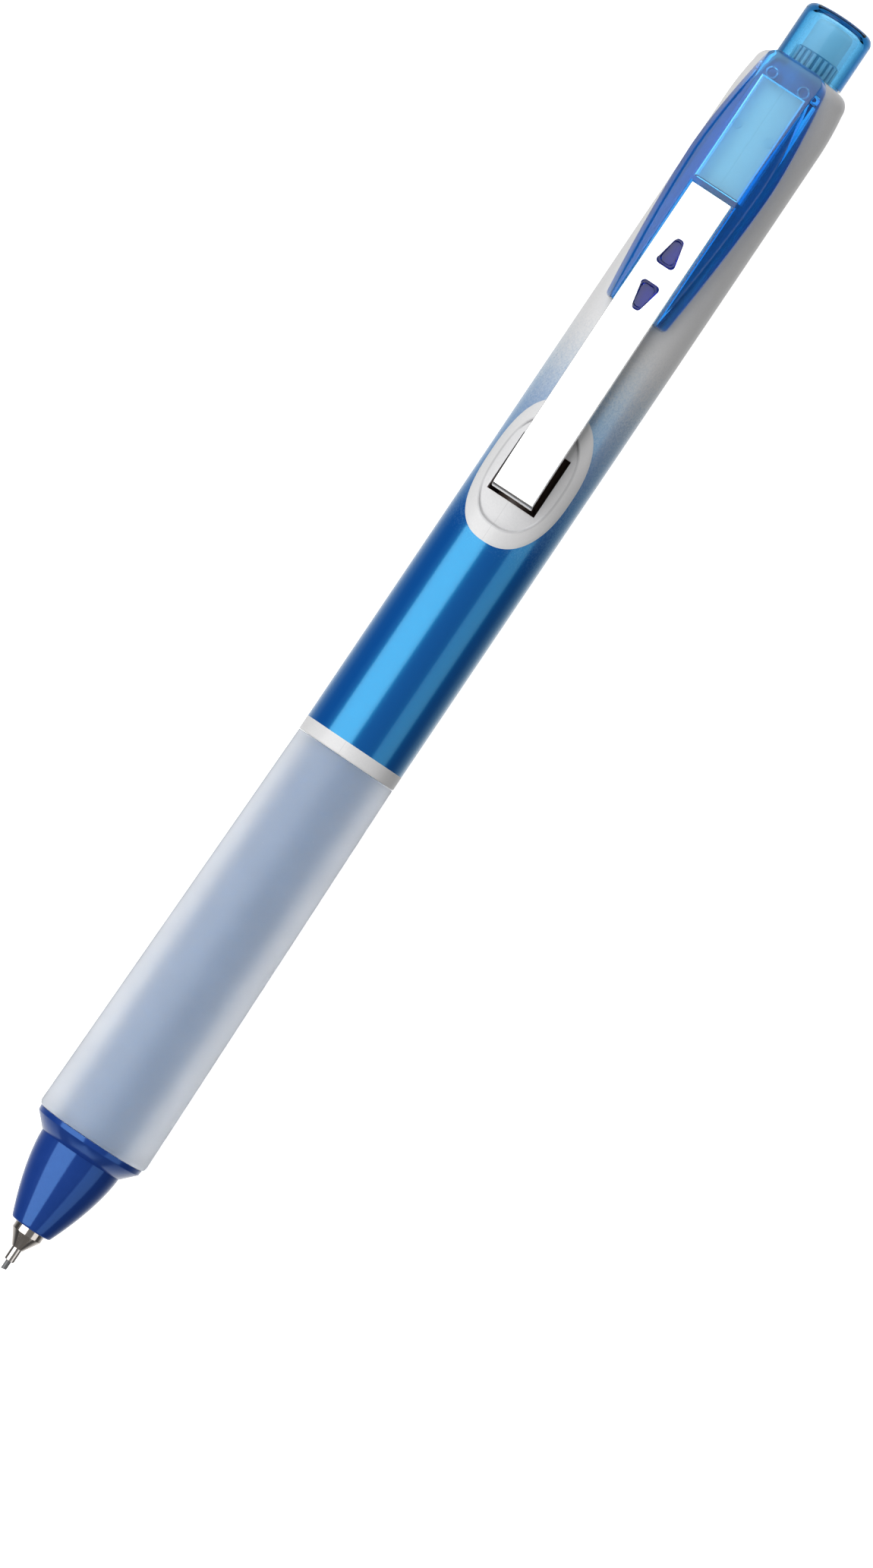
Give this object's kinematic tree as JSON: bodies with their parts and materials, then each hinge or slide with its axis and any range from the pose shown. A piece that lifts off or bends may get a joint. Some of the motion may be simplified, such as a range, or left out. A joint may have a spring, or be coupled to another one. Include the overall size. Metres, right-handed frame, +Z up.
{
  "type": "mechanical pencil",
  "caption": "Push-button mechanical pencil with a frosted rubber grip, a fading painted barrel, a steel pocket clip in a clear holder and an eraser under a clear push cap.",
  "frame": {"origin": "on the table under the middle of the lying pencil", "axes": "+X runs along the pencil's axis from the writing end to the push cap, +Z is up and is the side that carries the clip, and Y runs across the clip"},
  "size_m": [0.145, 0.0122, 0.0141],
  "materials": {
    "graphite": "smooth graphite, slightly shiny",
    "polished_steel": "polished tube",
    "nickel": "bright nickel",
    "black_rubber": "matte rubber",
    "blue_gloss": "glossy dark blue",
    "frosted_rubber": "frosted clear silicone",
    "blue_core": "smooth blue moulding",
    "metallic_paint": "clear-coated paint fading from metallic blue to pearl grey",
    "clear_blue": "clear tinted plastic, polished",
    "chromed_strip": "mirror chrome",
    "steel": "satin",
    "brass": "machined",
    "spring_wire": "drawn wire",
    "white_plastic": "smooth moulding",
    "smoke_plastic": "smooth moulding",
    "pale_clear": "clear ribbed moulding",
    "eraser": "matte vinyl"
  },
  "bodies": {
    "barrel": {"rear_barrel": "metallic_paint", "front_barrel": "blue_core", "grip_sleeve": "frosted_rubber", "clip_holder": "clear_blue", "clip_base": "chromed_strip", "clutch_sleeve": "steel"},
    "clip": {"clip_arm": "chromed_strip"},
    "nose": {"nose_cone": "blue_gloss", "tip_cone": "nickel", "lead_retainer": "black_rubber"},
    "sleeve": {"lead_sleeve": "polished_steel"},
    "pusher": {"lead_tank": "smoke_plastic", "chuck_joint": "white_plastic", "chuck": "brass", "return_spring": "spring_wire", "spare_leads": "graphite"},
    "ring": {"clutch_ring": "brass"},
    "lead": {"lead": "graphite"},
    "eraser_unit": {"eraser_holder": "pale_clear", "eraser": "eraser"},
    "cap": {"push_cap": "clear_blue"}
  },
  "joints": [
    {"name": "press", "type": "slide", "parent": "barrel", "child": "pusher", "axis": [-1, 0, 0], "range_m": [0, 0.004], "stiffness_N_per_m": 700, "deforming": ["return_spring"]},
    {"name": "ring_drop", "type": "slide", "parent": "barrel", "child": "ring", "axis": [-1, 0, 0], "range_m": [0, 0.001]},
    {"name": "lead_feed", "type": "slide", "parent": "barrel", "child": "lead", "axis": [-1, 0, 0], "range_m": [0, 0.0006]},
    {"name": "eraser_pull", "type": "slide", "parent": "pusher", "child": "eraser_unit", "axis": [1, 0, 0], "range_m": [0, 0.012]},
    {"name": "cap_pull", "type": "slide", "parent": "eraser_unit", "child": "cap", "axis": [1, 0, 0], "range_m": [0, 0.02]},
    {"name": "clip_flex", "type": "hinge", "parent": "barrel", "child": "clip", "pos_m": [0.037, 0, 0.0134], "axis": [0, 1, 0], "range_deg": [0, 8], "stiffness_Nm_per_rad": 1},
    {"name": "nose_off", "type": "slide", "parent": "barrel", "child": "nose", "axis": [-1, 0, 0], "range_m": [0, 0.02]},
    {"name": "sleeve_slide", "type": "slide", "parent": "nose", "child": "sleeve", "axis": [1, 0, 0], "range_m": [0, 0.0014]}
  ],
  "couplings": [
    {"joint": "ring_drop", "follows": "press", "ratio": 0.25},
    {"joint": "lead_feed", "follows": "press", "ratio": 0.15}
  ]
}
